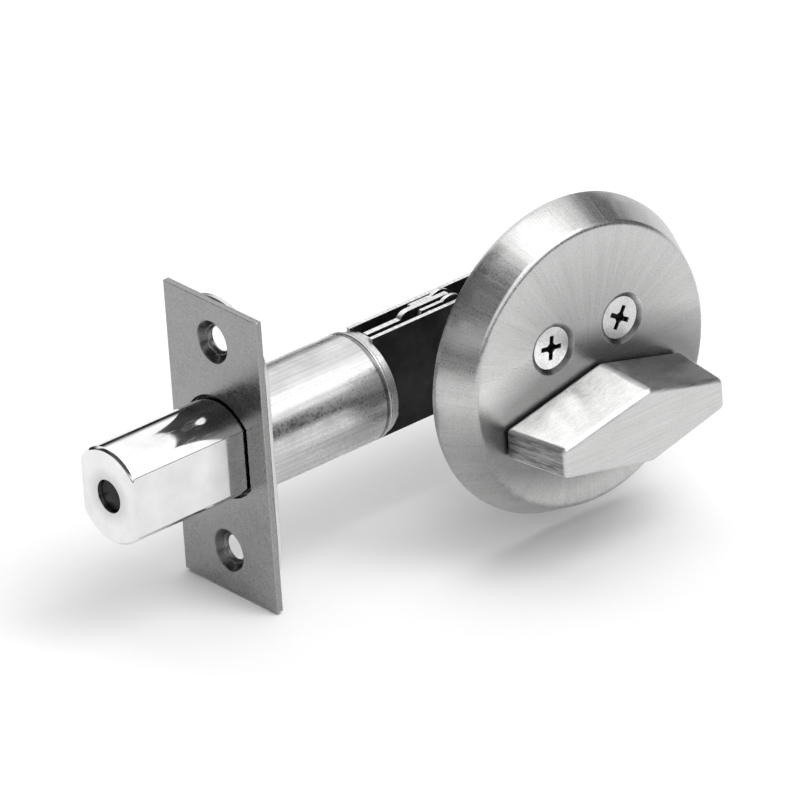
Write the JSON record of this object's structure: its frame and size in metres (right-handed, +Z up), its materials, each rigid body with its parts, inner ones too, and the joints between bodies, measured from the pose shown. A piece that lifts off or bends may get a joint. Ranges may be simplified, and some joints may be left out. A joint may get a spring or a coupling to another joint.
{
  "type": "one-sided deadbolt",
  "caption": "Tubular deadbolt thrown from one side by a faceted thumbturn on a round rose, with a square faceplate and an open steel case.",
  "frame": {"origin": "on the bolt's axis, on the back of the round-ended plate that seats in the door edge, midway between its two screw holes", "axes": "+X into the door from its edge, +Z up, -Y towards the room with the thumbturn; drawn with the bolt thrown and the thumbturn level"},
  "size_m": [0.1155, 0.0569, 0.0622],
  "materials": {
    "satin_nickel": "satin brushed",
    "polished_chrome": "polished",
    "zinc_plate": "bright zinc plate",
    "black_steel": "black, low sheen",
    "screw_steel": "plated, slightly worn",
    "hard_steel": "ground",
    "nylon": "matt"
  },
  "bodies": {
    "housing": {"faceplate": "satin_nickel", "back_plate": "zinc_plate", "bolt_tube": "zinc_plate", "tube_bulkhead": "zinc_plate", "case_plate_near": "black_steel", "case_plate_far": "black_steel", "case_rivets": "black_steel", "detent_spring": "hard_steel", "mounting_plate": "zinc_plate", "rose_posts": "zinc_plate", "rose": "satin_nickel", "rose_screws": "screw_steel"},
    "bolt_group": {"bolt": "polished_chrome", "drawbar": "black_steel", "tail_pin": "hard_steel", "drive_pin": "hard_steel"},
    "roller_group": {"roller_pin": "hard_steel"},
    "turn_group": {"hub": "black_steel", "hub_washers": "hard_steel", "cam_near": "black_steel", "cam_far": "black_steel", "spindle": "zinc_plate", "thumbturn": "satin_nickel", "thumb_washer": "nylon", "retaining_clip": "hard_steel"}
  },
  "joints": [
    {"name": "thumb_turn", "type": "hinge", "parent": "housing", "child": "turn_group", "pos_m": [0.05822, -0.035, -0.0042], "axis": [0, 1, 0], "range_deg": [0, 90]},
    {"name": "bolt_slide", "type": "slide", "parent": "housing", "child": "bolt_group", "axis": [1, 0, 0], "range_m": [0, 0.0254]},
    {"name": "roller_spin", "type": "hinge", "parent": "bolt_group", "child": "roller_group", "pos_m": [-0.018, 0, 0], "axis": [1, 0, 0], "continuous": true}
  ],
  "couplings": [
    {"joint": "bolt_slide", "follows": "thumb_turn", "m_per_rad": 0.01617}
  ]
}
